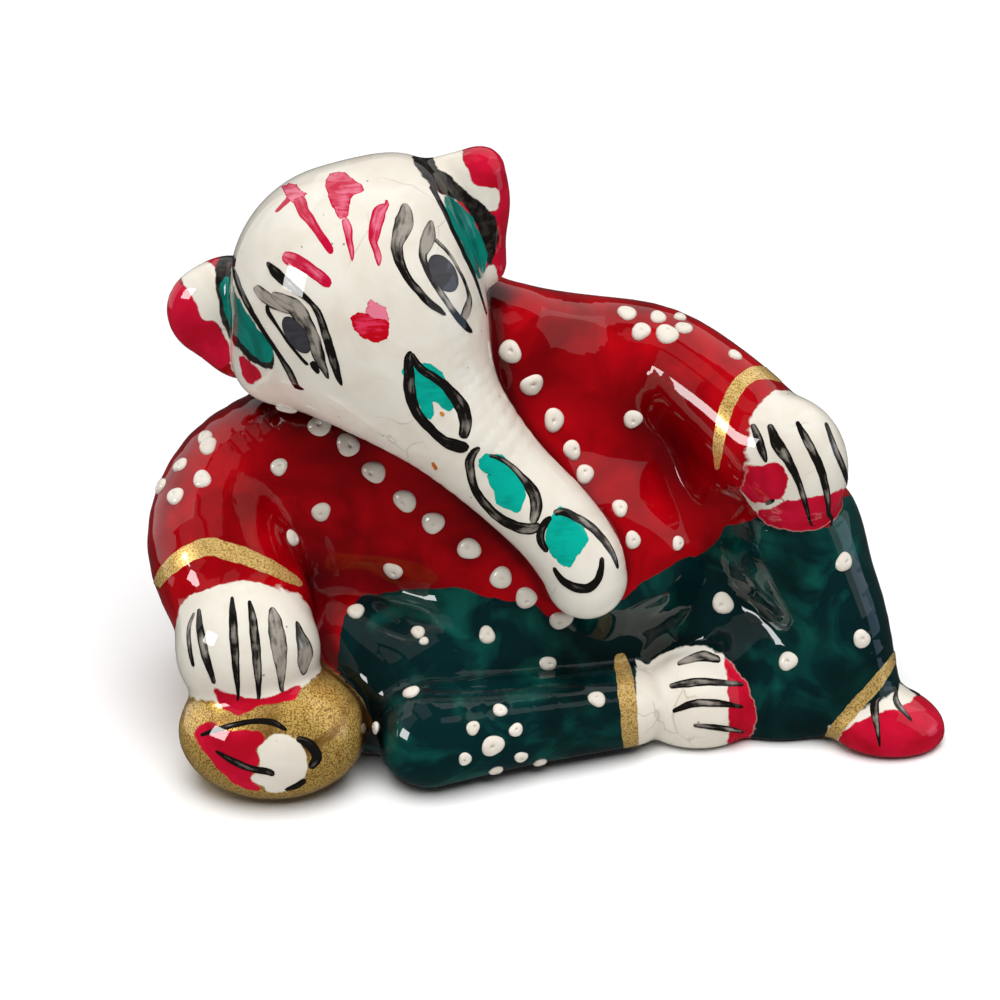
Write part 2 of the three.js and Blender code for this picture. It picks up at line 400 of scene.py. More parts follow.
forms = dict(
    clothed=clothed, right_ear=right_ear, left_ear=left_ear, right_shin=right_shin, right_foot=right_foot,
    left_foot=left_foot, bolster=bolster, right_hand=right_hand, left_hand=left_hand, head=head,
)
gaps = {name: form(skin) for name, form in forms.items()}


def proud(name):
    """Negative where a form stands proud of all the others, by about the distance to its crease."""
    return (gaps[name] - np.min([gap for other, gap in gaps.items() if other != name], 0)) / 2


hem_line = [
    (120, 690), (325, 690), (333, 662), (339, 648), (342, 621), (350, 610), (363, 596), (384, 593),
    (411, 589), (442, 588), (460, 587), (481, 595), (509, 601), (534, 604), (548, 616), (580, 616),
    (600, 607), (624, 599), (644, 581), (665, 571), (681, 559), (701, 554), (719, 538), (725, 527),
    (742, 523), (762, 516), (790, 522), (830, 526), (850, 495), (960, 480),
]
hem_height_behind = 15.0
places = in_photo(skin)
facing = -skin_slope @ ahead
behind_from, behind_fade = 4.0, 6.0
hidden = np.clip((skin[:, 1] - behind_from) / behind_fade, 0, 1)
legs = over_line(places, hem_line)
legs += hidden * (skin[:, 2] - hem_height_behind - legs)


def within(*outline):
    """Signed distance from the skin's points to a smooth closed outline in the photograph, in
    millimetres and negative inside: a point is inside where a line to its right crosses it oddly."""
    rim = smooth_path(outline, 4, closed=True)
    nearest, inside = np.full(len(places), np.inf), np.zeros(len(places), bool)
    for start, end in zip(rim, np.roll(rim, -1, 0)):
        run, away = end - start, places - start
        along = np.clip(away @ run / (run @ run), 0, 1)
        nearest = np.minimum(nearest, ((away - along[:, None] * run) ** 2).sum(1))
        level = (start[1] <= places[:, 1]) != (end[1] <= places[:, 1])
        crossing = start[0] + away[:, 1] * run[0] / (run[1] if run[1] else 1)
        inside ^= level & (places[:, 0] < crossing)
    return np.where(inside, -1, 1) * np.sqrt(nearest) / pixels_per_mm


def on(names, *shapes, reach=0.6):
    """The union of some shapes, on the side that is seen and within reach of the named forms."""
    near = np.min([gaps[name] for name in names], 0) - reach
    return np.maximum(np.maximum(np.min(shapes, 0), near), (-0.25 - facing) * 4)


right_hand_skin = within(
    (177, 621), (184, 602), (200, 591), (219, 585), (238, 581), (257, 582), (274, 587), (287, 599),
    (298, 612), (312, 627), (318, 646), (314, 662), (306, 673), (303, 680), (295, 690), (285, 698),
    (271, 701), (238, 699), (220, 693), (208, 688), (195, 674), (184, 658), (176, 640),
)
left_hand_skin = within(
    (732, 457), (736, 437), (746, 416), (762, 400), (778, 390), (795, 392), (815, 402), (838, 424),
    (855, 446), (866, 468), (868, 490), (860, 512), (848, 526), (831, 536), (811, 537), (782, 530),
    (762, 520), (746, 500), (734, 479),
)
right_foot_skin = within(
    (637, 655), (650, 651), (665, 647), (690, 645), (720, 648), (742, 654), (756, 680), (760, 705),
    (754, 735), (738, 752), (700, 756), (660, 754), (638, 750),
)
bolster_rim = within(
    (166, 634), (176, 640), (184, 658), (195, 674), (208, 688), (225, 705), (250, 714), (280, 708),
    (300, 694), (308, 678), (325, 688), (344, 714), (350, 740), (320, 810), (180, 810), (150, 700),
)
cream_disc = within(
    (277, 734), (293, 737), (304, 749), (308, 762), (304, 776), (293, 787), (277, 793), (262, 790),
    (266, 787), (259, 785), (250, 779), (256, 771), (260, 760), (256, 749), (265, 739),
)
right_ear_skin = within(
    (184, 272), (196, 264), (210, 262), (217, 272), (220, 290), (222, 310), (227, 330), (236, 348),
    (226, 340), (216, 322), (203, 320), (196, 306), (188, 290), (181, 282),
)
left_ear_skin = within(
    (426, 150), (445, 146), (462, 146), (463, 160), (469, 170), (474, 184), (488, 187), (499, 190),
    (498, 209), (485, 211), (472, 202), (460, 191), (446, 178), (433, 168),
)
left_ear_lobe = within((490, 264), (497, 270), (498, 286), (496, 299), (489, 318), (482, 304), (478, 284))
right_cheek = within(
    (262, 366), (285, 380), (300, 392), (285, 392), (268, 386), (250, 392), (240, 384), (252, 372),
)
face = np.maximum(proud("head"), (-0.1 - facing) * 6)
paws = [proud(name) for name in ("right_hand", "left_hand", "right_foot", "left_foot")]
bare_skin = [
    on(["right_hand"], right_hand_skin, reach=1.8),
    on(["left_hand"], left_hand_skin),
    on(["right_foot", "right_shin"], right_foot_skin),
    on(["bolster"], cream_disc),
]
ear_forms = ["right_ear", "left_ear", "head"]
ears_seen = on(ear_forms, right_ear_skin, left_ear_skin, left_ear_lobe, right_cheek)
cream = np.min([face, *paws, *bare_skin, ears_seen], 0)

fingertips = within(
    (756, 512), (778, 506), (790, 500), (806, 498), (819, 496), (835, 492), (852, 486), (872, 480),
    (868, 510), (850, 530), (833, 542), (807, 545), (782, 536), (762, 522),
)
thumb = within(
    (728, 468), (745, 464), (762, 465), (778, 463), (787, 477), (783, 497), (766, 502), (754, 503),
    (742, 492), (732, 480),
)
fringe = within(
    (214, 688), (233, 695), (249, 698), (271, 698), (285, 690), (300, 686), (294, 699), (277, 704),
    (257, 706), (249, 710), (238, 716), (227, 711), (218, 700),
)
cheek_patch = within(
    (239, 358), (244, 356), (250, 363), (258, 368), (261, 375), (256, 381), (250, 384), (243, 375),
)
right_toes = within(
    (721, 636), (744, 640), (766, 676), (772, 704), (766, 734), (750, 758), (730, 764), (729, 717),
    (728, 684), (724, 662),
)
left_toes = within(
    (835, 749), (843, 733), (856, 723), (868, 717), (884, 712), (900, 708), (912, 700), (926, 690),
    (945, 706), (950, 730), (936, 748), (900, 760), (860, 762), (838, 760),
)
bolster_wedge = within(
    (194, 732), (203, 724), (211, 721), (220, 727), (233, 731), (247, 730), (260, 731), (266, 741),
    (257, 750), (260, 760), (256, 771), (250, 779), (262, 788), (258, 792), (238, 786), (219, 770),
    (202, 748),
)
right_ear_front = within(
    (150, 270), (180, 245), (225, 245), (240, 300), (250, 345), (232, 360), (215, 370), (190, 362),
    (160, 345),
)
left_ear_front = within(
    (425, 140), (470, 132), (500, 132), (512, 160), (512, 220), (506, 280), (490, 320), (470, 260),
    (440, 190),
)
ears_red = on(["right_ear", "left_ear"], right_ear_front, left_ear_front)
scarlet_areas = [
    on(["left_hand"], fingertips, thumb),
    on(["right_hand", "clothed", "bolster", "right_ear", "head"], fringe, cheek_patch),
    on(["right_foot"], right_toes),
    on(["left_foot"], left_toes),
    on(["bolster"], bolster_wedge),
    np.maximum(ears_red, -ears_seen),
]
scarlet = np.min(scarlet_areas, 0)

teal_crescent = within(
    (220, 287), (226, 277), (231, 283), (238, 297), (245, 310), (254, 322), (263, 334), (269, 342),
    (274, 353), (270, 362), (261, 361), (247, 349), (235, 335), (227, 318), (222, 300),
)
black_crescent = within(
    (215, 271), (220, 258), (226, 252), (233, 254), (235, 264), (233, 280), (236, 292), (250, 320),
    (270, 345), (275, 360), (270, 369), (256, 364), (241, 353), (229, 337), (222, 320), (217, 296),
)
teal_leaf = within(
    (445, 195), (453, 200), (462, 206), (471, 215.6), (477, 226), (483, 240), (487, 258), (483.5, 275),
    (479, 278), (472, 268), (467, 257), (459, 239), (450.5, 223), (444.5, 207),
)
black_band = within(
    (412, 156), (428, 152), (437, 166), (450, 177), (465, 190), (477, 200), (486, 208), (494, 215),
    (498, 226), (498, 240), (496, 251), (491, 266), (486, 260), (482, 243), (477, 228), (470, 214),
    (462, 204), (452, 197), (440, 194), (428, 182), (418, 170),
)
black = on(ear_forms, black_crescent, black_band)
teal = on(ear_forms, teal_crescent, teal_leaf)
gold = np.minimum(proud("bolster"), on(["right_hand", "clothed", "bolster"], bolster_rim))
# Painted shade: how deep each point lies in a hollow or crease, from 0 to 1. It darkens the crimson, green
# and gold there, for the shade that falls in them and the enamel that pools there.
shade_reach = 1.6
hollow_shade = np.clip(1 - casting(skin + shade_reach * skin_slope) / shade_reach, 0, 1)

enamel, tree, shader = lacquered("crimson_green_cream_enamel")


def kept(name):
    """The number kept on the mesh's points under a name."""
    return add(tree, "ShaderNodeAttribute", attribute_name=name).outputs["Fac"]


streaks = clouds(tree, 6.0, 4, 1.2)
washes = clouds(tree, 11.0, 3, 0.8)
# The painted shade of hollows and creases, read from the mesh.
painted_hollow_shade = kept("hollow_shade")
crimson = brushed(tree, "#AE030F", "#900008", streaks, 0.35, 0.7)
crimson = brushed(tree, crimson, "#780006", washes, 0.42, 0.68)
# Painted shade: deeper crimson in hollows and creases.
crimson = brushed(tree, crimson, "#4E0004", painted_hollow_shade, 0.05, 0.7)
green = brushed(tree, "#032325", "#0D5148", streaks, 0.45, 0.72)
green = brushed(tree, green, "#031718", washes, 0.42, 0.7)
# Painted shade: near-black green in hollows and creases.
green = brushed(tree, green, "#010B0C", painted_hollow_shade, 0.05, 0.7)

# Dust specks about 2 mm apart, and hairline cracks about 9 mm apart in some places of the cream.
speck_spacing, crack_spacing = 2.083, 9.09
place = add(tree, "ShaderNodeTexCoord").outputs["Object"]
specks = add(tree, "ShaderNodeTexVoronoi", {"Vector": place, "Scale": 1000 / speck_spacing}).outputs[0]
bent = {0: clouds(tree, 3.0), 1: (0.002, 0.002, 0.002), 2: place}
bent = add(tree, "ShaderNodeVectorMath", bent, operation="MULTIPLY_ADD").outputs[0]
cracks = {"Vector": bent, "Scale": 1000 / crack_spacing}
cracks = add(tree, "ShaderNodeTexVoronoi", cracks, feature="DISTANCE_TO_EDGE").outputs[0]
crazed = {"Value": clouds(tree, 9.0), "From Min": 0.58, "From Max": 0.66, "To Max": 0.35}
crazed = add(tree, "ShaderNodeMapRange", crazed, interpolation_type="SMOOTHSTEP").outputs[0]
cream_colour = brushed(tree, "#E4DFD3", "#DAD1C2", streaks, 0.3, 0.8)
cream_colour = brushed(tree, cream_colour, "#8A8074", specks, 0.07, 0.03)
cream_colour = brushed(tree, cream_colour, "#8A7E70", cracks, 0.009, 0.002, crazed)

bronze_grain = 0.16
gold_colour = brushed(tree, "#94622A", "#F2CC70", clouds(tree, bronze_grain, 2), 0.34, 0.6)
gold_colour = brushed(tree, gold_colour, "#8A5C28", streaks, 0.5, 0.75)
# Painted shade: dark brown gold in hollows and creases.
gold_colour = brushed(tree, gold_colour, "#4A2E10", painted_hollow_shade, 0.05, 0.7)
scarlet_colour = brushed(tree, "#CC1236", "#A8081F", streaks, 0.3, 0.7)
black_colour = brushed(tree, "#14110F", "#37322D", clouds(tree, 0.8), 0.4, 0.7)
teal_colour = brushed(tree, "#07887A", "#04594F", streaks, 0.3, 0.7)
layers = [
    ("legs", legs, green, 0.0),
    ("gold", gold, gold_colour, 0.6),
    ("cream", cream, cream_colour, 0.0),
    ("scarlet", scarlet, scarlet_colour, 0.0),
    ("black", black, black_colour, 0.0),
    ("teal", teal, teal_colour, 0.0),
]
# Each edge wobbles by up to a third of a millimetre to either side, as a hand does.
wobble, soft_edge = 0.7, 0.08
bare, covered = wobble / 2 + soft_edge, wobble / 2 - soft_edge
wavering = clouds(tree, 1.2)
colour, metal = crimson, (0, 0, 0, 1)
for name, _, paint, shine in layers:
    edge = {0: wavering, 1: wobble, 2: kept(name)}
    edge = add(tree, "ShaderNodeMath", edge, operation="MULTIPLY_ADD").outputs[0]
    colour = brushed(tree, colour, paint, edge, bare, covered)
    metal = brushed(tree, metal, (shine, shine, shine, 1), edge, bare, covered)
tree.links.new(colour, shader.inputs["Base Color"])
tree.links.new(metal, shader.inputs["Metallic"])

figure = piece_of("ganesha_painted", skin, skin_faces.tolist(), skin_slope, enamel)
for name, distances, _, _ in layers:
    keep_on_points(figure.data, name, distances)
# The painted shade of hollows and creases, kept for the material.
keep_on_points(figure.data, "hollow_shade", hollow_shade)
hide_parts("ganesha_figure")
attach(figure, "root")


# Black brushwork
# Thin black enamel drawn with a fine brush: eyes, brows, petals on the trunk, fingers, toes and the
# bolster's motif. Where the brush ran dry the colour below shows through. Each stroke is a closed
# film of paint, some hundredths of a millimetre proud of the casting.


def once_at_ends(grid):
    """A grid's values row by row, those of its first and last row given once, because these rows
    shrink to a point."""
    around = grid.shape[1]
    return grid.reshape(-1, *grid.shape[2:])[around - 1 : 1 - around]


def closed_shell(grid, first):
    """The points and faces of a closed shell from rows of points round it, numbered on from the
    first. Its faces turn so that its volume, summed corner by corner, is positive."""
    rows, around = grid.shape[:2]
    points = once_at_ends(grid)
    index = np.maximum(np.arange(rows * around) - around + 1, 0).reshape(rows, around)
    index[-1] = len(points) - 1
    a, b = index[:-1], index[1:]
    quads = np.stack([a, np.roll(a, -1, 1), np.roll(b, -1, 1), b], -1).reshape(-1, 4)
    corners = points[quads]
    volume = (corners[:, 0] * np.cross(corners[:, 2], corners[:, 3] - corners[:, 1])).sum()
    quads = quads if volume > 0 else quads[:, ::-1]
    return points, [list(dict.fromkeys(quad)) for quad in (quads + first).tolist()]


def stroke(stations, phase, step=3.0):
    """A brush stroke along a smooth path through stations of u, v and width: pixels across it from
    one edge to the other and back underneath, with wavering edges and round ends."""
    path = smooth_path(stations, 12)
    run = np.concatenate([[0], np.cumsum(np.hypot(*np.diff(path[:, :2], axis=0).T))])
    rows = max(int(run[-1] / step), 5)
    even = np.linspace(0, run[-1], rows + 1)
    along = run[-1] * (1 - np.cos(np.linspace(0, math.pi, rows + 1))) / 2 if rows < 8 else even
    u, v, width, *laid = (np.interp(along, run, path[:, k]) for k in range(path.shape[1]))
    turn = np.gradient(np.stack([u, v], 1), axis=0)
    turn /= np.maximum(np.linalg.norm(turn, axis=1), 1e-6)[:, None]
    half = width / 2
    reach = np.minimum(along, run[-1] - along) / np.maximum(half, 0.1)
    half = half * np.sqrt(np.clip(reach * (2 - np.minimum(reach, 1)), 0, 1))
    waver = [
        1 + 0.04 * np.sin(along / 5.1 + phase + k) + 0.03 * np.sin(along / 2.3 + 2 * phase + k)
        for k in (0, 2)
    ]
    t = np.array([-1, -0.85, -0.5, 0, 0.5, 0.85, 1, 0.6, 0, -0.6])
    side = np.where(t[None, :] < 0, waver[0][:, None], waver[1][:, None])
    across = half[:, None] * t[None, :] * side
    normal = np.stack([-turn[:, 1], turn[:, 0]], 1)
    ring = np.stack([u, v], 1)[:, None] + across[..., None] * normal[:, None]
    height = np.tile(np.array([-0.03, 1, 1, 1, 1, 1, -0.03, -0.06, -0.06, -0.06]), (rows + 1, 1))
    edge = half[:, None] * (1 - np.abs(t)) / pixels_per_mm
    run_mm = np.broadcast_to(along[:, None] / pixels_per_mm, edge.shape)
    laid = np.broadcast_to(laid[0][:, None] if laid else 0, edge.shape)
    return ring, height, np.stack([run_mm, across / pixels_per_mm, edge], -1), laid


def patch(outline, phase, around=64, ragged=1.0):
    """A filled patch inside a closed outline that a brush left a little ragged: rings of pixels from
    its middle out to the outline and back underneath."""
    rim = smooth_path(outline, 8, closed=True)
    rim = rim[np.linspace(0, len(rim), around, endpoint=False).astype(int)]
    middle = rim.mean(0)
    turns = np.linspace(0, 2 * math.pi, around, endpoint=False)[:, None] + phase
    away = (rim - middle) / np.linalg.norm(rim - middle, axis=1)[:, None]
    ripple = 0.5 * np.sin(9 * turns) + 0.4 * np.sin(17 * turns + phase) + 0.3 * np.sin(29 * turns)
    rim = rim + ragged * away * ripple
    spread = np.array([0, 0.25, 0.5, 0.75, 0.92, 1, 0.6, 0])
    ring = middle + spread[:, None, None] * (rim - middle)
    height = np.repeat(np.array([1, 1, 1, 1, 1, -0.03, -0.06, -0.06])[:, None], around, 1)
    size = np.linalg.norm(rim - middle, axis=1)[None]
    edge = size * (1 - spread)[:, None] / pixels_per_mm
    local = (ring - middle) / pixels_per_mm
    return ring, height, np.concatenate([local, edge[..., None]], -1), np.zeros(edge.shape)


def paintwork(name, material, form_parts, lift):
    """One piece of paintwork: each stroke or patch is a closed film on the form that carries it,
    lifted off the skin along its slope, each by a little more so that no two of them coincide."""
    points, faces, normals, brush, inks = [], [], [], [], []
    count = 0
    extra_lift = 0.002
    for form, parts in form_parts:
        films = [(*shape(stations, 1.7 * k), ink) for k, (shape, stations, ink) in enumerate(parts)]
        flat = touched(np.vstack([film[0].reshape(-1, 2) for film in films]), form)
        slope = outward(casting, flat)
        slope /= np.maximum(np.linalg.norm(slope, axis=1), 0.2)[:, None]
        used = 0
        for number, (ring, height, mark, laid, ink) in enumerate(films):
            rows, around = ring.shape[:2]
            here = slice(used, used + rows * around)
            used += rows * around
            away = slope[here].reshape(rows, around, 3)
            rise = np.where(height > 0, lift, height) + extra_lift * (number % 7)
            film = flat[here].reshape(rows, around, 3) + rise[..., None] * away
            own, own_faces = closed_shell(film, count)
            points.append(own)
            faces += own_faces
            count += len(own)
            normals.append(once_at_ends(away))
            brush.append(once_at_ends(mark))
            inks.append(once_at_ends(laid + ink))
    piece = piece_of(name, np.vstack(points), faces, np.vstack(normals), material)
    marks = np.vstack(brush).astype(np.float32)
    piece.data.attributes.new("brush", "FLOAT_VECTOR", "POINT").data.foreach_set("vector", marks.ravel())
    keep_on_points(piece.data, "laid", np.concatenate(inks))
    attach(piece, "root")


black_on_face = [
    (stroke, [(254, 285, 6), (262, 294, 12), (272, 302, 12), (283, 309, 7), (292, 314, 2)], 0.4),
    (stroke, [
        (270, 293, 5), (281, 299, 13), (293, 306, 17), (302, 317, 17), (309, 330, 15), (315, 344, 14),
        (319, 356, 13), (322, 365, 9), (326, 373, 6), (329, 380, 1),
    ], 0.55),
    (stroke, [
        (267, 303, 3), (268, 311, 4.5), (272, 318, 4), (280, 330, 2.6), (288, 342, 2.6), (296, 352, 2.8),
        (303, 360, 3.2), (309, 366, 3),
    ], 0.95),
    (stroke, [(311, 361, 6), (315, 367, 7), (319, 374, 3)], 0.95),
    (stroke, [
        (266, 261, 2), (271, 267, 7), (276, 273, 11), (285, 281, 10), (296, 290, 8), (305, 297, 6),
        (312, 304, 5), (317, 311, 7), (321.5, 321, 8), (325.5, 334, 8.5), (330, 349, 9.5), (334, 362, 9),
        (337, 373, 7.5), (340, 381, 5), (342.5, 386.5, 1.5),
    ], 0.8),
    (stroke, [
        (403.5, 202, 4, 0.5), (405, 209, 12, 0.45), (405, 219, 19, 0.4), (402, 229, 19, 0.4),
        (399, 237, 16, 0.45), (397, 246, 13, 0.6), (398, 255, 11.5, 0.8), (400.5, 264, 10, 0.9),
        (404, 271, 9, 0.95), (410, 281, 8, 0.95), (418, 290.5, 8, 0.85), (427.5, 301, 8, 0.8),
        (436.5, 308, 7, 1), (443, 313, 4.5, 1), (446.5, 316, 1, 1),
    ], 0),
    (stroke, [
        (431, 219, 3, 0.5), (430, 229, 11, 0.4), (428, 238, 15, 0.35), (425, 247, 13, 0.4),
        (423, 256, 8.5, 0.6), (425.5, 266, 6.5, 0.8), (430, 276.5, 6, 0.9), (437, 287, 6.5, 0.7),
        (444.5, 298.5, 6.5, 0.6), (451, 308, 6.5, 0.5), (457, 316, 7, 0.9), (463, 323, 8, 1),
        (468, 329, 6, 1), (473, 333, 2, 1),
    ], 0),
    (stroke, [
        (428, 234, 3), (437, 241.5, 4), (445.5, 249.8, 3.5), (452, 258, 3), (458, 269, 3), (463.3, 279, 3),
        (467, 289, 3), (469, 297.5, 5), (468, 306, 8.5), (465, 315, 9), (461, 321, 6),
    ], 0.45),
    (stroke, [
        (430, 184, 6), (436, 195, 5), (444.5, 211.5, 4.5), (452.5, 230, 4), (460, 245, 4), (465, 256.5, 4),
        (470, 266, 4), (476, 281, 3), (481, 296, 2), (487, 316, 1.5),
    ], 0.95),
    (stroke, [
        (229, 263, 4), (235, 274, 5), (240, 289, 5.5), (246, 301, 6), (252.5, 313.5, 5), (259, 324, 4.5),
        (266, 335, 4), (274, 347, 4), (282, 359.5, 5), (290, 373, 7), (296, 385, 6), (300, 388, 3),
        (305, 390, 1.5),
    ], 0.95),
    (stroke, [
        (411.5, 350, 4), (408.5, 359, 9), (409, 373, 12), (410, 390, 13), (413.5, 406, 11.5),
        (421.5, 419, 10.5), (432, 430.5, 10), (443, 440, 10.5), (453, 445, 13), (462, 447, 13),
        (470, 446.5, 6),
    ], 0.92),
    (stroke, [
        (410.5, 352, 4), (419, 367, 9), (432, 376, 9.5), (444, 385, 10.5), (454, 396, 13), (462, 408, 15),
        (465.5, 419, 14), (465, 430, 12), (461, 439, 10),
    ], 0.85),
    (stroke, [
        (481, 447, 3), (474, 452, 8), (470, 461, 10), (470.5, 472, 9.5), (473, 484, 9), (479, 496, 9),
        (488.5, 508, 9.5), (500, 518, 10), (512, 525, 11), (524, 528.5, 12), (534, 528, 11), (540, 523, 5),
    ], 0.85),
    (stroke, [
        (487, 455, 3), (499, 458, 5), (511, 466, 6), (522, 477, 8), (531, 489, 12), (536, 500, 13),
        (536, 511, 12), (532, 524, 8),
    ], 0.62),
    (stroke, [(553, 516, 3), (546, 522, 8), (541, 531, 9), (541, 541, 9), (548, 553, 5)], 0.9),
    (stroke, [
        (552, 514, 5), (563, 512, 9), (577, 518, 9), (591, 527, 9), (602, 538, 8), (609, 548, 7),
        (615, 559, 5), (618, 570, 2),
    ], 0.72),
    (stroke, [
        (553, 566, 3), (558, 575, 6), (566, 583, 8), (577, 588, 10), (588, 588, 10), (597, 581, 8),
        (601, 570, 7), (602, 556, 4),
    ], 0.85),
]
black_on_hands = [
    (stroke, [(195, 611, 2), (189, 628, 4), (190, 650, 4.5), (194, 668, 3)], 0.45),
    (stroke, [(199, 607, 3), (200, 628, 8), (205, 654, 9), (215, 685, 4)], 0.62),
    (stroke, [(232, 595, 3), (233, 621, 9), (235, 654, 9), (237, 680, 6), (239, 702, 2)], 0.85),
    (stroke, [(249, 599, 3), (253, 621, 9), (256, 650, 10), (258, 675, 8), (259, 701, 3)], 0.75),
    (stroke, [(271, 606, 4), (275, 622, 15), (279, 648, 17), (281, 668, 11), (281, 693, 3)], 0.5),
    (stroke, [(296, 620, 2), (300, 633, 9), (305, 650, 16), (304, 662, 14), (303, 676, 3)], 0.45),
]
black_on_knee_hand = [
    (stroke, [(754, 424, 4), (759, 437, 8), (763, 450, 8), (767, 463, 3)], 0.8),
    (stroke, [
        (769, 423, 5), (778, 445, 13), (789, 462, 10), (798, 481, 7), (805, 502, 6), (811, 526, 2),
    ], 0.75),
    (stroke, [(796, 420, 4), (807, 441, 9), (819, 465, 9), (827, 494, 7), (829, 528, 2)], 0.75),
    (stroke, [(825, 421, 3), (834, 446, 6), (843, 468, 6), (849, 488, 2)], 0.65),
    (stroke, [(765, 504, 3), (770, 502, 5), (775, 500, 2)], 0.95),
]
black_on_right_foot = [
    (stroke, [(676, 665, 3), (688, 660, 8), (702, 657, 9), (722, 662, 5)], 0.55),
    (stroke, [(668, 687, 5), (688, 683, 9), (712, 682, 8), (744, 685, 4)], 0.7),
    (stroke, [(671, 712, 4), (692, 704, 8), (715, 703, 8), (744, 707, 3)], 0.7),
    (stroke, [(692, 725, 3), (712, 727, 6), (728, 729, 6), (744, 732, 3)], 0.6),
]
black_on_left_foot = [
    (stroke, [(872, 693, 6), (874, 708, 10), (877, 726, 6), (880, 748, 2)], 0.75),
    (stroke, [(892, 687, 3), (896, 701, 7), (904, 712, 5), (913, 722, 2)], 0.7),
    (stroke, [(903, 679, 3), (910, 687, 5), (921, 697, 2)], 0.7),
]
black_on_bolster = [
    (stroke, [
        (199, 736, 3), (219, 729, 6), (238, 724, 6), (257, 721, 6), (274, 723, 7), (288, 731, 3),
    ], 0.95),
    (stroke, [(214, 750, 2), (233, 761, 7), (249, 768, 7), (269, 772, 7), (275, 776, 4)], 0.95),
    (stroke, [(295, 738, 5), (306, 742, 10), (315, 751, 11), (316, 760, 11), (309, 769, 6)], 0.95),
    (stroke, [(307, 779, 5), (296, 786, 6), (284, 790, 2)], 0.95),
]


def enamel_film(name, thin, thick, dry, rim, low=-0.05, high=0.45):
    """Enamel brushed out thin: where the brush ran dry it shows the thin colour, and the thick one
    where it was laid on fully or pooled along an edge, within about 0.2 mm of it."""
    material, tree, shader = lacquered(name)
    brush = add(tree, "ShaderNodeAttribute", attribute_name="brush").outputs["Vector"]
    body = add(tree, "ShaderNodeAttribute", attribute_name="laid").outputs["Fac"]
    edge = add(tree, "ShaderNodeSeparateXYZ", {0: brush}).outputs[2]
    drawn = add(tree, "ShaderNodeMapping", {"Vector": brush, "Scale": (0.3, 1.8, 0)}).outputs[0]
    drawn = add(tree, "ShaderNodeTexNoise", {"Vector": drawn, "Scale": 1.5, "Detail": 4}).outputs[0]
    drawn = add(tree, "ShaderNodeMix", {"Factor": 0.45, "A": clouds(tree, 2.0), "B": drawn}).outputs[0]
    for pattern, start, end, most in [(drawn, 0.3, 0.7, -dry), (edge, 0.28, 0.03, rim)]:
        part = {"Value": pattern, "From Min": start, "From Max": end, "To Max": most}
        part = add(tree, "ShaderNodeMapRange", part, interpolation_type="SMOOTHSTEP").outputs[0]
        body = add(tree, "ShaderNodeMath", {0: body, 1: part}, operation="ADD").outputs[0]
    colour = brushed(tree, thin, thick, body, low, high)
    tree.links.new(colour, shader.inputs["Base Color"])
    return material


ink_enamel = enamel_film("thin_black_enamel", "#9C948A", "#14110F", dry=0.75, rim=0.3, low=-0.1, high=0.5)
paintwork(
    "black_brushwork",
    ink_enamel,
    [
        (head, black_on_face),
        (joined(crease, clothed, right_hand), black_on_hands),
        (left_hand, black_on_knee_hand),
        (right_foot, black_on_right_foot),
        (left_foot, black_on_left_foot),
        (bolster, black_on_bolster),
    ],
    0.055,
)


# Eye pupils
# One drop of black enamel for each eye, which has dried flat and even.


def oval(centre, long, short, slant):
    """Eight points of an oval with its long axis slanted by degrees down from the horizontal."""
    turn = np.radians(np.arange(0, 360, 45))
    slant = math.radians(slant)
    x, y = long * np.cos(turn), short * np.sin(turn)
    along = [x * math.cos(slant) - y * math.sin(slant), x * math.sin(slant) + y * math.cos(slant)]
    return (np.array(centre) + np.stack(along, 1)).tolist()


def flowed(outline, phase):
    """A patch that flowed out to a smooth edge."""
    return patch(outline, phase, ragged=0.0)


right_pupil = oval((296.5, 335), 22, 10.5, 56)
left_pupil = oval((443.2, 273.3), 21.5, 13, 58)
pupil_enamel = enamel_film("flat_black_enamel", "#45454A", "#2C2C30", dry=0.3, rim=0.3)
pupils = [(flowed, right_pupil, 0.3), (flowed, left_pupil, 0.3)]
paintwork("eye_pupils", pupil_enamel, [(head, pupils)], 0.07)


# Rose and scarlet brushwork
# A transparent rose enamel for the marks on the forehead, brushed out in streaks, and the same paint
# laid on thicker, as scarlet, for the drop between the eyes.
rose_marks = [
    (patch, [
        (281, 187), (286, 184), (292, 183), (298, 186), (303, 192), (307, 193), (305, 197), (300, 203),
        (292, 203), (286, 199), (285, 194),
    ], 0.35),
    (stroke, [
        (297, 195, 12), (300, 202, 14), (304, 212, 12.5), (310, 220, 10.8), (316, 229, 9),
        (322.5, 238, 8.8), (329.5, 249, 8), (332, 255, 3),
    ], 0.75),
    (stroke, [(290, 198, 7), (284, 204, 4.5), (278, 210, 3.5), (275, 212.5, 1.5)], 0.8),
    (patch, [
        (325, 183), (326.6, 176.6), (333, 172), (342, 171), (349, 175), (357, 181), (364, 187), (364, 191),
        (356, 194.5), (351, 199), (350, 206), (348, 216), (344, 219), (339, 218.6), (334, 211),
        (330, 202.5), (326.6, 193),
    ], 0.6),
    (stroke, [
        (343.5, 217, 6), (347.5, 228, 9.8), (349.5, 241, 7.2), (351.7, 252.5, 5.5), (352.3, 262, 1.5),
    ], 0.5),
    (stroke, [
        (385, 198.5, 2), (387, 204, 5), (381, 210, 13), (378, 217, 14.5), (375, 228, 13.5), (374, 237, 12),
        (374, 244, 7.5), (377, 252, 7.5), (378.3, 259, 7), (378.8, 267, 2),
    ], 0.55),
    (stroke, [
        (281, 255, 9), (288, 257.5, 14), (298, 262, 14), (308, 268, 13), (318, 275, 12.5), (326, 282, 11.5),
        (329.5, 288, 6),
    ], 0.7),
]
rose_drop = [
    (patch, [
        (370, 299), (377, 303), (386, 308), (389, 320), (388, 328), (376, 326), (366, 314), (367, 305),
    ], 0.2),
]
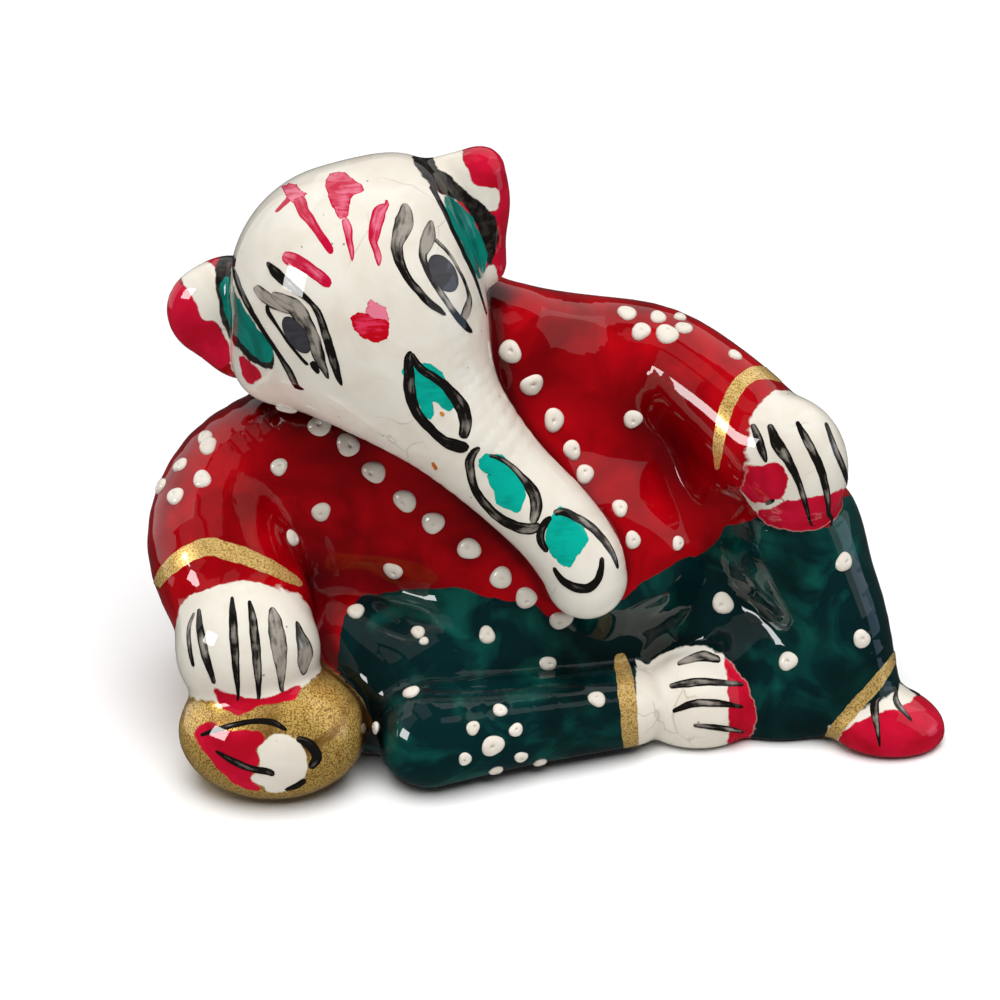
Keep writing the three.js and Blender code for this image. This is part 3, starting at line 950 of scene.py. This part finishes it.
scarlet_drop = [
    (patch, [
        (350, 319), (356, 313), (366, 313), (376, 318), (388, 320), (389, 336), (378, 343), (364, 339),
        (355, 331),
    ], 0.7),
]
rose_enamel = enamel_film(
    "transparent_rose_enamel", "#E07890", "#BC0C36", dry=0.7, rim=0.4, low=-0.1, high=0.5
)
paintwork("rose_brushwork", rose_enamel, [(head, rose_marks + rose_drop)], 0.04)
scarlet_enamel = enamel_film("scarlet_enamel", "#DC3458", "#BC0418", dry=0.9, rim=0.2, low=-0.1, high=0.3)
paintwork("scarlet_drop", scarlet_enamel, [(head, scarlet_drop)], 0.045)


# Teal fills
# Opaque teal enamel inside the three petals that are drawn down the trunk.
teal_petals = [
    (patch, [
        (400.5, 372), (409, 362), (421, 363), (430, 362.5), (440, 370), (448, 381), (455, 396), (455, 407),
        (450, 411.5), (443, 409), (437, 402.5), (432, 404), (434, 414), (431, 420.5), (423, 415),
        (415, 399), (406, 378),
    ], 0.5),
    (patch, [
        (477.6, 461), (483, 454), (491.6, 453), (501.5, 454), (511, 464), (520, 474), (525, 484),
        (526, 498), (521, 512), (514, 513), (501.5, 507.6), (495, 502), (494, 492), (487.4, 482),
        (486.7, 472.5), (480.4, 470),
    ], 0.4),
    (patch, [
        (546, 527), (553, 512), (561, 506), (576, 512), (583, 523), (589, 540), (583, 550), (577, 558),
        (570, 568), (562, 566), (555, 560), (549, 552), (545, 541),
    ], 0.4),
]
teal_enamel = enamel_film("teal_enamel", "#04A896", "#056A60", dry=0.6, rim=0.15, low=0.0, high=0.9)
paintwork("teal_fills", teal_enamel, [(head, teal_petals)], 0.035)


# Orange specks
# Two flecks of orange enamel dropped on the trunk by the brush.
orange_flecks = [
    (stroke, [(440, 412, 3), (444, 416, 5)], 0.3),
    (stroke, [(432, 462, 3), (437, 470, 4)], 0.6),
]
orange_enamel = enamel_film("orange_enamel", "#D08A3C", "#B85A14", dry=0.6, rim=0.2)
paintwork("orange_specks", orange_enamel, [(head, orange_flecks)], 0.06)


# Gold bands
# Bronze powder in varnish, brushed round both cuffs and both ankles.
gold_bands = [
    (stroke, [
        (155, 588, 8), (166, 571, 15), (183, 557, 18), (206, 547, 19), (231, 552, 19), (259, 562, 17),
        (289, 577, 12), (303, 586, 4),
    ], 0.5),
    (stroke, [
        (785, 381, 5), (770, 374, 12), (752, 374, 15), (734, 392, 15), (723, 420, 14), (718, 448, 11),
        (717, 471, 4),
    ], 0.5),
    (stroke, [(619, 652, 12), (625, 680, 18), (629, 715, 18), (631, 753, 16)], 0.5),
    (stroke, [(899, 650, 6), (880, 679, 13), (855, 707, 14), (836, 730, 14), (820, 753, 12)], 0.5),
]
gold_varnish, tree, shader = lacquered("bronze_powder_varnish")
grains = brushed(tree, "#A87430", "#F0CE80", clouds(tree, bronze_grain, 2), 0.3, 0.6)
tree.links.new(grains, shader.inputs["Base Color"])
shader.inputs["Metallic"].default_value = 0.5
paintwork("gold_bands", gold_varnish, [(casting, gold_bands)], 0.05)


# White paste dots
# Thick white relief paste squeezed from a cone in drops, each with the small pit that the cone's
# tip leaves. The largest stand about 0.4 mm proud. They are listed by their radius in pixels.
drops = {
    11.3: [
        (286, 409), (320, 425), (348, 445), (374, 472), (405, 501), (433, 523), (469, 549), (501, 578),
        (526, 598), (510, 352), (532, 385), (554, 420), (561, 620), (493, 746), (723, 603), (667, 334),
    ],
    9.6: [
        (208, 446), (202, 479), (175, 496), (321, 512), (393, 571), (572, 450), (585, 474), (633, 419),
        (641, 331), (627, 313), (844, 562), (862, 639), (788, 661),
    ],
    8.5: [
        (180, 465), (161, 486), (279, 467), (292, 538), (633, 540), (658, 317), (684, 328), (411, 692),
        (356, 611), (548, 664), (597, 699), (487, 635), (205, 437), (620, 508),
    ],
    7.0: [
        (680, 317), (418, 632), (376, 728), (500, 710), (473, 728), (516, 730), (465, 759), (496, 770),
        (521, 757), (540, 762), (735, 355), (678, 543),
    ],
    4.5: [(424, 641), (636, 331)],
}
proud_by = 0.42
profile_out = np.array([0, 0.1, 0.18, 0.3, 0.55, 0.78, 0.92, 1.0, 1.0, 0.5, 0])
profile_up = np.array([0.55, 0.6, 0.95, 1.0, 0.93, 0.72, 0.42, 0.0, -0.2, -0.3, -0.3])
chance = np.random.default_rng(7)
centres = np.array([spot for spots in drops.values() for spot in spots], float)
radii = np.array([size for size, spots in drops.items() for _ in spots]) / pixels_per_mm
middles = touched(centres, casting)
ups = outward(casting, middles)
ups /= np.linalg.norm(ups, axis=1)[:, None]
sides = np.cross(ups, ahead)
sides /= np.linalg.norm(sides, axis=1)[:, None]
fronts = np.cross(ups, sides)
around = np.linspace(0, 2 * math.pi, 28, endpoint=False)
lobes = 1 + 0.07 * np.sin(2 * around + chance.uniform(0, 6, (len(radii), 1)))
lobes += 0.05 * np.sin(3 * around + chance.uniform(0, 6, (len(radii), 1)))
spread = radii[:, None, None] * profile_out[None, :, None] * lobes[:, None, :]
pit_shift = chance.uniform(-0.25, 0.25, (2, len(radii), 1, 1)) * (1 - profile_out)[None, None, :, None]
run_side = spread * np.cos(around) + pit_shift[0] * radii[:, None, None]
run_front = spread * np.sin(around) + pit_shift[1] * radii[:, None, None]
base = middles[:, None, None] + run_side[..., None] * sides[:, None, None]
base = base + run_front[..., None] * fronts[:, None, None]
base = settled(base.reshape(-1, 3))
slopes = outward(casting, base)
slopes /= np.linalg.norm(slopes, axis=1)[:, None]
rise = proud_by * np.sqrt(radii / radii.max())
heights = np.broadcast_to(rise[:, None, None] * profile_up[None, :, None], spread.shape)
dot_points = (base + heights.reshape(-1, 1) * slopes).reshape(*spread.shape, 3)
points, faces, count = [], [], 0
for dot in dot_points:
    own, own_faces = closed_shell(dot, count)
    points.append(own)
    faces += own_faces
    count += len(own)
paste, tree, shader = lacquered("white_relief_paste")
tint = {"Factor": clouds(tree, 1.5), 6: linear("#EDE8DE"), 7: linear("#D2C8B8")}
tint = add(tree, "ShaderNodeMix", tint, data_type="RGBA").outputs[2]
tree.links.new(tint, shader.inputs["Base Color"])
dots = piece_of("paste_dots", np.vstack(points), faces, None, paste)
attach(dots, "root")


# The floor and the light
# Plain pale paper, lit evenly by one broad ceiling lamp that the lacquer doesn't mirror. What it
# mirrors lights nothing: pale walls, a small bright window on the left and a low cool one on the right.
far = 3.0
floor_mesh = bpy.data.meshes.new("floor")
floor_mesh.from_pydata([(-far, -far, 0), (far, -far, 0), (far, far, 0), (-far, far, 0)], [], [(0, 1, 2, 3)])
paper = bpy.data.materials.new("white_paper")
paper.use_nodes = True
paper.node_tree.nodes["Principled BSDF"].inputs["Base Color"].default_value = linear("#F4F4F4")
paper.node_tree.nodes["Principled BSDF"].inputs["Roughness"].default_value = 0.9
floor_mesh.materials.append(paper)
floor = bpy.data.objects.new("floor", floor_mesh)
floor.visible_glossy = False
bpy.context.scene.collection.objects.link(floor)


def panel(
    name, bearing, height, distance, width, depth, brightness, colour="#FFFFFF", glossy=True, diffuse=False
):
    """A soft panel lamp facing the figure: bearing in degrees from the front towards the right, and
    height over the horizon. Its power is brightness times pi times its area."""
    bearing, height = math.radians(bearing), math.radians(height)
    level = math.cos(height)
    towards = np.array([math.sin(bearing) * level, -math.cos(bearing) * level, math.sin(height)])
    lamp = bpy.data.lights.new(name, "AREA")
    lamp.shape, lamp.size, lamp.size_y = "RECTANGLE", width, depth
    lamp.energy = brightness * math.pi * width * depth
    lamp.color = linear(colour)[:3]
    holder = bpy.data.objects.new(name, lamp)
    holder.location = np.array([0, 0, 0.025]) + distance * towards
    holder.rotation_euler = (math.pi / 2 - height, 0, math.atan2(towards[0], -towards[1]))
    holder.visible_camera = False
    holder.visible_glossy = glossy
    holder.visible_diffuse = diffuse
    bpy.context.scene.collection.objects.link(holder)


panel("back_wall", 160, 52, 0.7, 1.1, 0.8, 0.75)
panel("left_wall", -116, 22, 0.7, 0.8, 1.05, 0.85)
panel("left_front_wall", -66, 38, 0.7, 0.3, 0.5, 0.3)
panel("overhead", -60, 74, 0.7, 0.5, 0.3, 0.3)
panel("right_wall", 88, 28, 0.7, 0.75, 0.8, 0.55)
panel("right_window", 88, -1, 0.65, 0.3, 0.2, 0.9, "#C4DCFF")
panel("left_window", -57, 15, 0.6, 0.2, 0.17, 14.0)
panel("ceiling_lamp", 5, 74, 2.4, 2.1, 2.1, 6.4, glossy=False, diffuse=True)

world = bpy.data.worlds.new("pale_room")
bpy.context.scene.world = world
world.use_nodes = True
world.node_tree.nodes["Background"].inputs["Color"].default_value = (1, 1, 1, 1)
world.node_tree.nodes["Background"].inputs["Strength"].default_value = 0.05
bpy.context.scene.view_settings.view_transform = "Standard"
